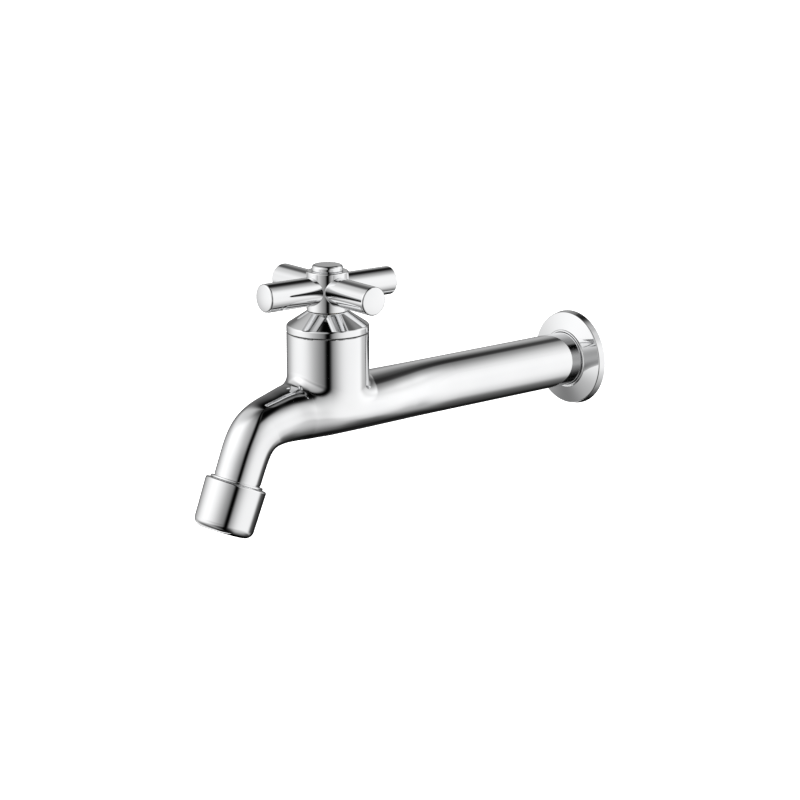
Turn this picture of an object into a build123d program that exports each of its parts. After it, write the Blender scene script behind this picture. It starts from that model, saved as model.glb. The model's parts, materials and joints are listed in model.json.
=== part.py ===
from build123d import *
import math
import os

# Wall-mounted single-feed tap: inlet tube, upright quarter-turn valve with a
# cross handle, short curved spout with an aerator. Millimetres, +Z up.
# Origin: on the inlet axis, in the plane of the wall. The tap projects to -Y.

os.makedirs("parts", exist_ok=True)

# ---------------------------------------------------------------- dimensions
VALVE_Y = -160.15  # valve axis in front of the wall
TUBE_R = 13.4  # outside of the long body tube
TUBE_BORE_R = 10.0
TUBE_END_Y = -0.6  # where the tube ends, just in front of the wall

TAIL_R = 10.48  # G1/2 male thread, major radius
TAIL_END_Y = 10.0
TAIL_BORE_R = 7.5
TAIL_SPIGOT_R = 9.95  # the part of the tail inside the tube
TAIL_SPIGOT_Y = -15.0
TAIL_SHOULDER_R = 12.6

BARREL_R = 19.5
BARREL_TOP = 36.04
BLEND_R = 4.0  # casting blend between barrel, tube and spout
# the horizontal body is oval under the barrel: place along the tube's axis,
# half width and half height
OVAL = (
    (-89.25, 13.4, 13.4), (-97.25, 13.65, 13.37), (-107.25, 14.5, 13.3), (-119.25, 16.2, 13.18),
    (-132.25, 18.0, 13.05), (-146.25, 19.3, 12.98), (-160.15, 19.7, 12.95), (-170.25, 18.6, 13.19),
    (-179.25, 15.9, 13.7),
)
OVAL_RISE = {-170.25: 0.22, -179.25: 0.6}  # how far its axis rises towards the spout

# spout: distance along its centreline, and angle below the horizontal there
SPOUT_START_Y, SPOUT_START_Z = -179.25, 0.6
SPOUT_TURN = (
    (0, 0.5), (2, 4.4), (4.5, 7.0), (7.5, 8.2), (11, 10.2), (15, 13.4), (18, 18.4), (21, 26.0), (24, 35.6),
    (27, 45.8), (30, 54.9), (33, 61.8), (37, 66.0), (41, 67.6), (48.4, 68.0),
)
# distance along the centreline, and outside radius there
SPOUT_OVAL = ((0, 15.9), (4, 14.7), (8, 13.5), (12, 12.65))  # half width at its start
SPOUT_RADII = (
    (0, 13.7), (4, 13.3), (8, 12.87), (12, 12.38), (16, 12.11), (20, 11.95),
    (24, 11.82), (28, 11.64), (32, 11.45), (36, 11.32), (42, 11.18), (48.4, 11.1),
)
SPOUT_LENGTH = 48.4
SPOUT_WALL = 3.0

RING_R = 12.53  # collar at the spout's end
RING_FROM, RING_TO = 1.0, 2.1  # measured from the spout's end, outwards
STUB_R = 12.0  # M24 male thread, major radius
STUB_END = 9.6
STUB_BORE_R = 8.6

SHELL_TOP, SHELL_END = 2.25, 25.6
SHELL_TOP_R, SHELL_END_R = 14.6, 14.13
SHELL_EDGE_R = 4.2

FLANGE_RIM_R = 23.95
FLANGE_EDGE_R, FLANGE_EDGE_Y = 23.3, -3.52  # where the coned face meets the rim's side
FLANGE_HOLE_R = 13.6
FLANGE_DEPTH = 6.3
FLANGE_LIP_R, FLANGE_LIP_Y = 14.35, -5.55  # small raised lip around the hole, and its foot
FLANGE_SEAT_Y = -3.9  # flat inside, around the hole, that the grip ring bears on

COUNTERBORE_R, COUNTERBORE_Z = 13.8, 34.54
THREAD_BORE_R = 10.53
CHAMBER_R, CHAMBER_FLOOR = 11.4, 9.5
SEAT_PORT_R = 5.0

COVER_CONE_Z, COVER_TOP_Z, COVER_TOP_R = 39.6, 46.25, 9.6
COVER_HOLE_R = 6.9
SEAM_GAP, SEAM_R = 0.6, 18.4  # the dark joint line between barrel and cover

HEX_FLATS = 17.0
NECK_R, NECK_TOP = 6.4, 47.6
SPINDLE_R, SPINDLE_BORE_R = 4.5, 4.6
SPLINE_R, SPLINE_ROOT_R, SPLINE_TEETH = 4.0, 3.6, 20

HUB_R, HUB_BOTTOM, HUB_TOP = 9.95, 46.6, 65.3
ARM_Z, ARM_REACH = 56.33, 36.7
ARM_R = 6.8
ARM_EDGE_R, ARM_DOME_R = 1.0, 40.0  # softened edge and slightly domed end of each arm
HANDLE_YAW = -2.93  # where the cross stands with the valve closed
CAP_R, CAP_TOP = 7.39, 68.21

TURN_ANGLE = 90.0  # closed to fully open
STOP_TAB_AT = 225.0
STOP_TAB_HALF = 11.5
STOP_PLAY = 2.0


# ------------------------------------------------------------------- helpers
def outline(points):
    """A closed face in the XZ plane. Each point is (radius, height) or
    (radius, height, corner radius)."""
    pts = [(Vector(p[0], 0, p[1]), p[2] if len(p) > 2 else 0.0) for p in points]
    n = len(pts)
    ins, outs, arcs = [], [], []
    for i, (p, f) in enumerate(pts):
        if f <= 0:
            ins.append(p)
            outs.append(p)
            arcs.append(None)
            continue
        a = (pts[i - 1][0] - p).normalized()
        b = (pts[(i + 1) % n][0] - p).normalized()
        half = math.radians(a.get_angle(b)) / 2
        reach = f / math.tan(half)
        c = p + (a + b).normalized() * (f / math.sin(half))
        mid = c - (a + b).normalized() * f
        ins.append(p + a * reach)
        outs.append(p + b * reach)
        arcs.append(mid)
    edges = []
    for i in range(n):
        if arcs[i] is not None:
            edges.append(ThreePointArc(ins[i], arcs[i], outs[i]))
        j = (i + 1) % n
        if (ins[j] - outs[i]).length > 1e-6:
            edges.append(Line(outs[i], ins[j]))
    return Face(Wire(edges))


def turned(points):
    """A solid of revolution about +Z."""
    return revolve(outline(points), Axis.Z, 360)


def tube_z(r_out, r_in, z0, z1):
    return turned([(r_in, z0), (r_out, z0), (r_out, z1), (r_in, z1)])


def rod(r, z0, z1):
    return Pos(0, 0, z0) * Cylinder(
        r, z1 - z0, align=(Align.CENTER, Align.CENTER, Align.MIN)
    )


def block(x0, x1, y0, y1, z0, z1):
    return Pos((x0 + x1) / 2, (y0 + y1) / 2, (z0 + z1) / 2) * Box(
        x1 - x0, y1 - y0, z1 - z0
    )


def sector(r0, r1, a0, a1, z0, z1):
    """A piece of a ring between two angles, in degrees."""
    def at(r, a):
        return Vector(r * math.cos(math.radians(a)), r * math.sin(math.radians(a)), z0)

    m = (a0 + a1) / 2
    edges = [
        Line(at(r0, a0), at(r1, a0)),
        ThreePointArc(at(r1, a0), at(r1, m), at(r1, a1)),
        Line(at(r1, a1), at(r0, a1)),
        ThreePointArc(at(r0, a1), at(r0, m), at(r0, a0)),
    ]
    return extrude(Face(Wire(edges)), amount=z1 - z0, dir=(0, 0, 1))


def along_y(shape):
    """Turns a shape made about +Z so that its height runs along +Y."""
    return Plane(origin=(0, 0, 0), x_dir=(1, 0, 0), z_dir=(0, 1, 0)).location * shape


def at_valve(shape):
    return Pos(0, VALVE_Y, 0) * shape


def spout_angle(s):
    for (a, ta), (b, tb) in zip(SPOUT_TURN, SPOUT_TURN[1:]):
        if s <= b:
            return ta + (tb - ta) * (s - a) / (b - a)
    return SPOUT_TURN[-1][1]


def spout_point(s, steps=2000):
    y, z, h = SPOUT_START_Y, SPOUT_START_Z, s / steps
    for i in range(steps):
        t = math.radians(spout_angle((i + 0.5) * h))
        y -= h * math.cos(t)
        z -= h * math.sin(t)
    return y, z


def spout_section(y, z, angle, r, half_width=None):
    """A circle or an oval square to the body's centreline, its seam at the side."""
    t = math.radians(angle)
    forward = Vector(0, -math.cos(t), -math.sin(t))
    plane = Plane(origin=(0, y, z), x_dir=(1, 0, 0), z_dir=forward)
    if half_width is None or half_width - r < 0.01:
        return plane * Circle(r)
    return plane * Ellipse(half_width, r)


END_Y, END_Z = spout_point(SPOUT_LENGTH)
END_ANGLE = spout_angle(SPOUT_LENGTH)
END_DIR = Vector(
    0, -math.cos(math.radians(END_ANGLE)), -math.sin(math.radians(END_ANGLE))
)
END_PLANE = Plane(origin=(0, END_Y, END_Z), x_dir=(1, 0, 0), z_dir=END_DIR)


def at_spout_end(shape):
    """Places a shape made about +Z so that its height runs out of the spout."""
    return END_PLANE.location * shape


def save(shape, name):
    export_step(shape, "parts/" + name + ".step")


# ------------------------------------------------------------------ tap body
def make_tap_body():
    barrel = at_valve(Rot(0, 0, 45) * rod(BARREL_R, 0, BARREL_TOP))
    tube = along_y(rod(TUBE_R, OVAL[0][0] - 0.5, TUBE_END_Y))
    sections = [spout_section(y, OVAL_RISE.get(y, 0), 0, b, a) for y, a, b in OVAL[:-1]]
    wide = dict(SPOUT_OVAL)
    for s, r in SPOUT_RADII:
        y, z = spout_point(s)
        sections.append(spout_section(y, z, spout_angle(s), r, wide.get(s)))
    spout = loft(sections)
    body = barrel + tube + spout

    joint_edges = []
    for e in body.edges():
        b = e.bounding_box()
        near = b.min.Y > VALVE_Y - 25 and b.max.Y < VALVE_Y + 25
        flat_ring = b.max.Z - b.min.Z < 0.02
        on_axis = b.max.Y - b.min.Y < 0.02 or (b.max.X - b.min.X) < 0.02
        if near and not flat_ring and b.max.Z < BARREL_TOP - 1 and not on_axis:
            # keep only the edges where barrel and tube meet, not the seams
            if b.max.Z - b.min.Z > 2 and b.max.Z < TUBE_R + 1.5 and b.min.Z > 0.5:
                joint_edges.append(e)
    body = body.fillet(BLEND_R, joint_edges)

    # rim of the barrel's top, softened so that the seam reads as a fine line
    rim = [
        e for e in body.edges().filter_by(GeomType.CIRCLE)
        if abs(e.bounding_box().min.Z - BARREL_TOP) < 0.01 and abs(e.radius - BARREL_R) < 0.01
    ]
    body = body.chamfer(0.25, None, rim)

    # spout end: collar and threaded stub
    body += at_spout_end(
        turned([
            (0, -1.0), (10.9, -1.0), (10.9, RING_FROM), (RING_R, RING_FROM, 0.35),
            (RING_R, RING_TO, 0.3), (STUB_R - 0.9, RING_TO), (STUB_R - 0.9, 2.9),
            (STUB_R, 3.5), (STUB_R, STUB_END - 0.6), (STUB_R - 0.6, STUB_END), (0, STUB_END),
        ])
    )
    # inlet waterway: long tube, then the narrow end under the seat
    body -= along_y(
        turned([
            (0, VALVE_Y - 5.5), (5.5, VALVE_Y - 5.5), (7.0, VALVE_Y - 4.0), (7.0, VALVE_Y + 14),
            (TUBE_BORE_R, VALVE_Y + 19), (TUBE_BORE_R, TUBE_END_Y + 1), (0, TUBE_END_Y + 1),
        ])
    )
    # seat port, valve chamber, thread bore and gasket counterbore
    body -= at_valve(
        turned([
            (0, 0), (SEAT_PORT_R, 0), (SEAT_PORT_R, CHAMBER_FLOOR), (CHAMBER_R, CHAMBER_FLOOR),
            (CHAMBER_R, 22.4), (THREAD_BORE_R, 23.4), (THREAD_BORE_R, COUNTERBORE_Z),
            (COUNTERBORE_R, COUNTERBORE_Z), (COUNTERBORE_R, BARREL_TOP + 1), (0, BARREL_TOP + 1),
        ])
    )
    # outlet waterway: slanted passage, then along the spout
    passage = Plane(
        origin=(0, VALVE_Y - 7.1, 17.0), x_dir=(1, 0, 0), z_dir=(0, -1, -1)
    ).location * rod(6.0, 0, 23.5)
    body -= passage
    bore = [spout_section(SPOUT_START_Y + 3, 0.45, 0, TUBE_R - SPOUT_WALL)]
    for s, r in SPOUT_RADII:
        y, z = spout_point(s)
        bore.append(spout_section(y, z, spout_angle(s), r - SPOUT_WALL))
    body -= loft(bore)
    body -= at_spout_end(rod(STUB_BORE_R, -0.7, STUB_END + 1))
    return body


# ---------------------------------------------------------------- inlet tail
def make_inlet_tail():
    """Threaded nipple: spigot in the tube's end, shoulder, relief, G1/2 thread."""
    return along_y(turned([
        (8.3, TAIL_SPIGOT_Y), (TAIL_SPIGOT_R - 0.5, TAIL_SPIGOT_Y),
        (TAIL_SPIGOT_R, TAIL_SPIGOT_Y + 0.5), (TAIL_SPIGOT_R, TUBE_END_Y),
        (TAIL_SHOULDER_R, TUBE_END_Y), (TAIL_SHOULDER_R, 0.3, 0.2), (TAIL_R - 1.2, 0.3),
        (TAIL_R - 1.2, 1.0), (TAIL_R, 1.6), (TAIL_R, TAIL_END_Y - 0.8),
        (TAIL_R - 0.8, TAIL_END_Y), (TAIL_BORE_R, TAIL_END_Y), (TAIL_BORE_R, 0.2),
        (8.3, -0.6),
    ]))


# --------------------------------------------------------------- wall flange
def make_wall_flange():
    outer = [(FLANGE_HOLE_R, -FLANGE_DEPTH, 0.35), (FLANGE_LIP_R, -FLANGE_DEPTH, 0.35),
             (FLANGE_LIP_R + 0.2, FLANGE_LIP_Y, 0.5), (FLANGE_EDGE_R, FLANGE_EDGE_Y, 0.7), (FLANGE_RIM_R, -0.25), (FLANGE_RIM_R, 0.0)]
    inner = [(22.8, 0.0), (22.4, -2.4), (15.9, FLANGE_SEAT_Y), (FLANGE_HOLE_R, FLANGE_SEAT_Y)]
    return along_y(turned(outer + inner))


def make_flange_grip_ring():
    return along_y(turned([
        (TUBE_R, FLANGE_SEAT_Y, 0.2), (15.7, FLANGE_SEAT_Y, 0.4), (15.7, -2.1, 0.4),
        (TUBE_R, -2.1, 0.2),
    ]))


# ------------------------------------------------------------- valve headwork
def make_bonnet_cover():
    return at_valve(turned([
        (SEAM_R, BARREL_TOP), (SEAM_R, BARREL_TOP + SEAM_GAP), (BARREL_R, BARREL_TOP + SEAM_GAP, 0.2),
        (BARREL_R, COVER_CONE_Z, 1.2), (COVER_TOP_R, COVER_TOP_Z, 0.3),
        (COVER_HOLE_R, COVER_TOP_Z, 0.2), (COVER_HOLE_R, 44.6), (9.2, 44.6), (12.2, 42.55),
        (12.2, 40.8), (14.15, 40.4), (14.15, BARREL_TOP + 0.4), (14.55, BARREL_TOP),
    ]))


def make_cover_seal():
    return at_valve(tube_z(SEAM_R + 0.5, SEAM_R, BARREL_TOP, BARREL_TOP + SEAM_GAP))


def make_headwork_body():
    body = turned([
        (7.6, 11.0), (9.0, 11.0, 0.3), (9.0, 22.9), (TAIL_R, 24.0), (TAIL_R, 33.6),
        (9.7, 34.2), (9.7, 34.54), (10.4, 34.8), (10.4, 36.04), (14.0, 36.04), (14.0, 40.2),
        (NECK_R, 40.2), (NECK_R, NECK_TOP, 0.2), (SPINDLE_BORE_R, NECK_TOP),
        (SPINDLE_BORE_R, 22.6), (7.6, 22.6),
    ])
    hexagon = Pos(0, 0, 40.2) * extrude(
        RegularPolygon(HEX_FLATS / 2, 6, major_radius=False), amount=3.2
    )
    body += hexagon - rod(NECK_R - 0.5, 40, 44)
    # outlet windows, front and back
    for a in (90, 270):
        body -= sector(7.0, 9.6, a - 40, a + 40, 15.4, 21.4)
    # slots that key the fixed disc
    body -= block(-9.6, 9.6, -1.5, 1.5, 10.5, 15.2) - rod(7.4, 10, 16)
    # crown at the neck's top: the stop ring's tab travels in its cut-out
    body -= sector(
        SPINDLE_BORE_R - 0.3, NECK_R + 0.5,
        STOP_TAB_AT - STOP_TAB_HALF - STOP_PLAY,
        STOP_TAB_AT + TURN_ANGLE + STOP_TAB_HALF + STOP_PLAY, 46.3, NECK_TOP + 1,
    )
    return at_valve(body)


def make_headwork_gasket():
    return at_valve(tube_z(13.6, 10.6, COUNTERBORE_Z, BARREL_TOP))


def make_seat_seal():
    return at_valve(turned([
        (5.4, CHAMBER_FLOOR, 0.4), (8.8, CHAMBER_FLOOR, 0.4), (8.8, 11.0), (7.5, 11.0),
        (7.5, 12.0), (5.4, 12.0),
    ]))


def make_fixed_disc():
    disc = rod(7.4, 12.0, 15.15)
    disc += block(-8.6, 8.6, -1.4, 1.4, 12.0, 15.15)
    for a in (90, 270):
        disc -= sector(1.9, 5.2, a - 37.5, a + 37.5, 11.5, 16)
    return at_valve(disc)


def make_rotating_disc():
    disc = rod(7.2, 15.2, 18.4)
    for a in (0, 180):
        disc -= sector(1.9, 8.0, a - 37.5, a + 37.5, 15, 19)
    for a in (90, 270):
        disc -= Rot(0, 0, a) * block(3.2, 6.2, -1.2, 1.2, 17.2, 19)
    return at_valve(disc)


def make_spindle():
    shaft = turned([
        (0, 18.4), (7.1, 18.4, 0.2), (7.1, 22.0, 0.2), (SPINDLE_R, 22.0),
        (SPINDLE_R, 27.0), (3.0, 27.0), (3.0, 29.2), (SPINDLE_R, 29.2),
        (SPINDLE_R, 31.5), (3.0, 31.5), (3.0, 33.7), (SPINDLE_R, 33.7),
        (SPINDLE_R, 48.9), (3.6, 48.9), (3.6, 49.9), (SPINDLE_R, 49.9), (SPINDLE_R, 50.2),
        (SPLINE_ROOT_R - 0.2, 50.2), (SPLINE_ROOT_R - 0.2, 60.0), (0, 60.0),
    ])
    star = []
    for k in range(SPLINE_TEETH):
        for r, f in ((SPLINE_ROOT_R, 0.0), (SPLINE_ROOT_R, 0.22), (SPLINE_R, 0.38),
                     (SPLINE_R, 0.72), (SPLINE_ROOT_R, 0.88)):
            if (r, f) == (SPLINE_ROOT_R, 0.0):
                continue
            a = 2 * math.pi * (k + f) / SPLINE_TEETH
            star.append((r * math.cos(a), r * math.sin(a)))
    splines = Pos(0, 0, 50.2) * extrude(make_face(Polyline(*star, close=True)), amount=9.8)
    shaft += splines
    for a in (90, 270):
        shaft += Rot(0, 0, a) * block(3.3, 6.1, -1.1, 1.1, 17.3, 18.6)
    # flats for the stop ring
    for s in (1, -1):
        shaft -= block(min(s * 3.8, s * 6), max(s * 3.8, s * 6), -6, 6, 47.7, 48.9)
    shaft -= rod(2.05, 48.5, 61)
    return at_valve(shaft)


def make_spindle_o_rings():
    rings = []
    for z in (28.1, 32.6):
        rings.append(at_valve(Pos(0, 0, z) * Torus(3.78, 0.72)))
    return Compound(children=[r.solid() for r in rings])


def make_thrust_washer():
    return at_valve(tube_z(7.3, 4.8, 22.1, 22.6))


def make_stop_ring():
    ring = rod(6.2, 47.7, 48.9)
    hole = rod(4.55, 47, 49.5) & block(-3.85, 3.85, -6, 6, 47, 49.5)
    ring -= hole
    ring += sector(4.95, 6.2, STOP_TAB_AT - STOP_TAB_HALF, STOP_TAB_AT + STOP_TAB_HALF, 46.6, 47.9)
    return at_valve(ring)


def make_circlip():
    ring = tube_z(5.9, 3.65, 48.95, 49.85)
    ring -= sector(3.0, 7.0, -28, 28, 48, 51)
    return at_valve(Rot(0, 0, 90) * ring)


# ------------------------------------------------------------------- handle
def make_arm():
    """One arm about +Z, from the hub's axis to its slightly domed end."""
    base = ARM_REACH - ARM_DOME_R
    r, inner = ARM_R - ARM_EDGE_R, ARM_DOME_R - ARM_EDGE_R
    side_end = base + math.sqrt(inner**2 - r**2)
    turn = math.atan2(side_end - base, r)
    lean = math.pi / 2 - turn
    meet = Vector(ARM_DOME_R * math.sin(lean), 0, base + ARM_DOME_R * math.cos(lean))
    edges = [
        Line((0, 0, 0), (ARM_R, 0, 0)),
        Line((ARM_R, 0, 0), (ARM_R, 0, side_end)),
        ThreePointArc(
            Vector(ARM_R, 0, side_end),
            Vector(r + ARM_EDGE_R * math.cos(turn / 2), 0, side_end + ARM_EDGE_R * math.sin(turn / 2)),
            meet,
        ),
        ThreePointArc(
            meet,
            Vector(ARM_DOME_R * math.sin(lean / 2), 0, base + ARM_DOME_R * math.cos(lean / 2)),
            Vector(0, 0, ARM_REACH),
        ),
        Line((0, 0, ARM_REACH), (0, 0, 0)),
    ]
    return revolve(Face(Wire(edges)), Axis.Z, 360)


def make_cross_handle():
    hub = turned([
        (0, HUB_BOTTOM), (HUB_R, HUB_BOTTOM, 0.35), (HUB_R, HUB_TOP, 0.7), (0, HUB_TOP),
    ])
    arms = None
    for a in (0, 90, 180, 270):
        arm = Pos(0, 0, ARM_Z) * (Rot(0, 0, a) * (Rot(0, 90, 0) * make_arm()))
        arms = arm if arms is None else arms + arm
    body = hub + arms
    roots = []
    for e in body.edges():
        m = e @ 0.5
        b = e.bounding_box()
        if abs(math.hypot(m.X, m.Y) - HUB_R) < 0.05 and ARM_Z - 7 < b.min.Z and b.max.Z < ARM_Z + 7:
            roots.append(e)
    body = body.fillet(0.15, roots)
    # from below: clearance for the neck, stop ring and circlip, then the keyed seat of the insert
    body -= rod(7.0, HUB_BOTTOM - 1, 50.6)
    body -= Pos(0, 0, 50.0) * extrude(
        RegularPolygon(6.05, 6, major_radius=False), amount=10.2
    )
    body -= rod(2.3, 55, 63)
    # from above: recess for the screw's head and the cap's plug
    body -= rod(6.5, 61.7, HUB_TOP + 1)
    return at_valve(Rot(0, 0, HANDLE_YAW) * body)


def make_spline_insert():
    insert = Pos(0, 0, 50.7) * extrude(
        RegularPolygon(6.0, 6, major_radius=False), amount=9.5
    )
    insert -= rod(SPLINE_R + 0.05, 50, 61)
    return at_valve(Rot(0, 0, HANDLE_YAW) * insert)


def make_handle_screw():
    screw = turned([
        (0, 50.0), (1.6, 50.0), (2.0, 50.5), (2.0, 62.4), (3.6, 62.4, 0.15), (3.6, 64.3, 0.9), (0, 64.3),
    ])
    screw -= block(-0.5, 0.5, -2.4, 2.4, 63.0, 65)
    screw -= block(-2.4, 2.4, -0.5, 0.5, 63.0, 65)
    return at_valve(screw)


def make_spring_washer():
    washer = tube_z(3.7, 2.2, 61.7, 62.4)
    washer -= Rot(0, 0, 20) * block(0, 5, -0.25, 0.25, 61, 63)
    return at_valve(washer)


def make_index_cap():
    return at_valve(turned([
        (0, CAP_TOP), (CAP_R, CAP_TOP, 1.6), (CAP_R, HUB_TOP, 0.5), (6.3, HUB_TOP),
        (6.3, 64.3), (5.2, 64.3), (5.2, 62.9), (6.3, 62.9), (6.3, 62.1, 0.3), (4.6, 62.1),
        (4.6, 66.0), (0, 66.0),
    ]))


def make_cap_o_ring():
    return at_valve(Pos(0, 0, 63.6) * Torus(5.85, 0.6))


# ------------------------------------------------------------------ aerator
def make_aerator_shell():
    return at_spout_end(turned([
        (12.75, SHELL_TOP), (SHELL_TOP_R, SHELL_TOP, 0.9), (SHELL_END_R, SHELL_END, SHELL_EDGE_R),
        (9.6, SHELL_END, 0.6), (9.6, 21.5), (11.6, 21.5), (11.6, 12.0), (12.06, 11.5),
        (12.06, 2.9),
    ]))


def make_aerator_washer():
    return at_spout_end(turned([
        (8.3, STUB_END), (11.3, STUB_END, 0.2), (11.3, 11.2, 0.2), (8.3, 11.2),
    ]))


def make_aerator_housing():
    cage = turned([
        (11.4, 11.2), (11.4, 12.6), (10.6, 12.8), (10.6, 21.5), (9.4, 21.5), (9.4, 24.2, 0.3),
        (8.7, 24.2), (8.7, 22.4), (8.0, 22.4), (8.0, 18.9), (8.9, 18.9), (8.9, 12.9),
        (9.4, 12.9), (9.4, 11.2),
    ])
    for k in range(8):
        cage -= Rot(0, 0, 45 * k) * block(8.0, 12.0, -1.1, 1.1, 14.2, 16.6)
    return at_spout_end(cage)


def hex_spots(pitch, rings):
    spots = []
    for i in range(-rings, rings + 1):
        for j in range(-rings, rings + 1):
            if abs(i + j) <= rings:
                spots.append((pitch * (i + j / 2), pitch * j * math.sqrt(3) / 2))
    return spots


def perforated(r, z0, z1, hole_r, pitch, rings):
    disc = rod(r, z0, z1)
    holes = [Pos(x, y, 0) * rod(hole_r, z0 - 1, z1 + 1) for x, y in hex_spots(pitch, rings)]
    return disc - holes


def make_aerator_filter():
    return at_spout_end(perforated(9.3, 11.9, 12.9, 0.55, 2.3, 3))


def make_aerator_mesh():
    discs = [perforated(8.8, z, z + 0.4, 0.75, 2.15, 3) for z in (18.1, 18.5)]
    turned_disc = Pos(0, 0, 0) * (Rot(0, 0, 30) * discs[1])
    return Compound(children=[at_spout_end(discs[0]).solid(), at_spout_end(turned_disc).solid()])


def make_aerator_grid():
    grid = rod(8.6, 22.4, 23.9)
    holes = []
    pitch, half = 2.5, 0.95
    for i in range(-3, 4):
        for j in range(-3, 4):
            x, y = pitch * i, pitch * j
            if math.hypot(abs(x) + half, abs(y) + half) < 7.9:
                holes.append(block(x - half, x + half, y - half, y + half, 22, 24.5))
    return at_spout_end(grid - holes)


PARTS = {
    "tap_body": make_tap_body,
    "inlet_tail": make_inlet_tail,
    "wall_flange": make_wall_flange,
    "flange_grip_ring": make_flange_grip_ring,
    "bonnet_cover": make_bonnet_cover,
    "cover_seal": make_cover_seal,
    "headwork_body": make_headwork_body,
    "headwork_gasket": make_headwork_gasket,
    "seat_seal": make_seat_seal,
    "fixed_disc": make_fixed_disc,
    "rotating_disc": make_rotating_disc,
    "spindle": make_spindle,
    "spindle_o_rings": make_spindle_o_rings,
    "thrust_washer": make_thrust_washer,
    "stop_ring": make_stop_ring,
    "circlip": make_circlip,
    "cross_handle": make_cross_handle,
    "spline_insert": make_spline_insert,
    "handle_screw": make_handle_screw,
    "spring_washer": make_spring_washer,
    "index_cap": make_index_cap,
    "cap_o_ring": make_cap_o_ring,
    "aerator_shell": make_aerator_shell,
    "aerator_washer": make_aerator_washer,
    "aerator_housing": make_aerator_housing,
    "aerator_filter": make_aerator_filter,
    "aerator_mesh": make_aerator_mesh,
    "aerator_grid": make_aerator_grid,
}

for node_name, make in PARTS.items():
    made = make()
    save(made, node_name)
    print(node_name, len(made.solids()), round(made.volume, 1), made.is_valid)
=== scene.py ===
import json
import math

import bpy
import numpy as np
from mathutils import Matrix, Vector


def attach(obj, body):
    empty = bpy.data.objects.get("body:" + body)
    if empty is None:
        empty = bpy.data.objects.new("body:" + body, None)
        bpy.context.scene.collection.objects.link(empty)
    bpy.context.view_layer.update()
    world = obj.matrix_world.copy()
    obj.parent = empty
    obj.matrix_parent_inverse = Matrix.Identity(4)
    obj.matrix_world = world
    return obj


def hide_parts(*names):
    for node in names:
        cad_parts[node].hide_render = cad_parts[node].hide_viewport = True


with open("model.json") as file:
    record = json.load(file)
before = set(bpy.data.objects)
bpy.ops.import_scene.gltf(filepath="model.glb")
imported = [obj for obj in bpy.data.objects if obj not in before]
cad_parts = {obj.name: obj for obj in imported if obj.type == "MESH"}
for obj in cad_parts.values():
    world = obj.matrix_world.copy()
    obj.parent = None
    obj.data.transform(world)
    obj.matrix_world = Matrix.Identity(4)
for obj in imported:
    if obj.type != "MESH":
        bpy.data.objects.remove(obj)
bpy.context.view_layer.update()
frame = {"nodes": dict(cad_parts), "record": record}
cad = frame["nodes"]

# The finished pieces are built in millimetres, in the part's own frame, and
# stored in metres. The dimensions repeat those of the CAD source.
MM = 0.001
VALVE_Y = -160.15
TUBE_R, TUBE_BORE_R, TUBE_END_Y = 13.4, 10.0, -0.6
BARREL_R, BARREL_TOP = 19.5, 36.04
# half width and half height of the horizontal body along its axis
OVAL = np.array([
    (-223.25, 11.0, 11.0), (-197.25, 12.2, 12.2), (-187.25, 13.45, 12.9), (-179.25, 15.9, 13.62),
    (-170.25, 18.6, 13.19), (-160.15, 19.7, 12.95), (-146.25, 19.3, 12.98), (-132.25, 18.0, 13.05),
    (-119.25, 16.2, 13.18), (-107.25, 14.5, 13.3), (-97.25, 13.65, 13.37), (-89.25, 13.4, 13.4),
    (-84.0, 13.4, 13.4), (-60.0, 13.4, 13.4), (0.0, 13.4, 13.4),
])
SPOUT_START_Y, SPOUT_START_Z, SPOUT_LENGTH = -179.25, 0.6, 48.4
RISE_START_Y = -164.0  # from here the body's axis rises to the spout's start
SPOUT_TURN = np.array([
    (0, 0.0), (2, 4.4), (4.5, 7.0), (7.5, 8.2), (11, 10.2), (15, 13.4), (18, 18.4), (21, 26.0), (24, 35.6),
    (27, 45.8), (30, 54.9), (33, 61.8), (37, 66.0), (41, 67.6), (48.4, 68.0),
])
SPOUT_RADII = np.array([
    (0, 13.62), (4, 13.34), (8, 12.87), (12, 12.38), (16, 12.11), (20, 11.95),
    (24, 11.82), (28, 11.64), (32, 11.45), (36, 11.32), (42, 11.18), (48.4, 11.1),
])
# half height of the whole pipe: the spout's, then the horizontal body's
HEIGHT = np.concatenate([
    np.stack([SPOUT_START_Y - SPOUT_RADII[:0:-1, 0], SPOUT_RADII[:0:-1, 1]], 1),
    OVAL[OVAL[:, 0] >= SPOUT_START_Y][:, [0, 2]],
])
HUB_R, HUB_BOTTOM, HUB_TOP = 9.95, 46.6, 65.3
ARM_Z, ARM_R, ARM_REACH = 56.33, 6.8, 36.7
ARM_EDGE_R, ARM_DOME_R = 1.0, 40.0
HANDLE_YAW = -2.93
CAP_R, CAP_TOP = 7.39, 68.21


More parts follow.
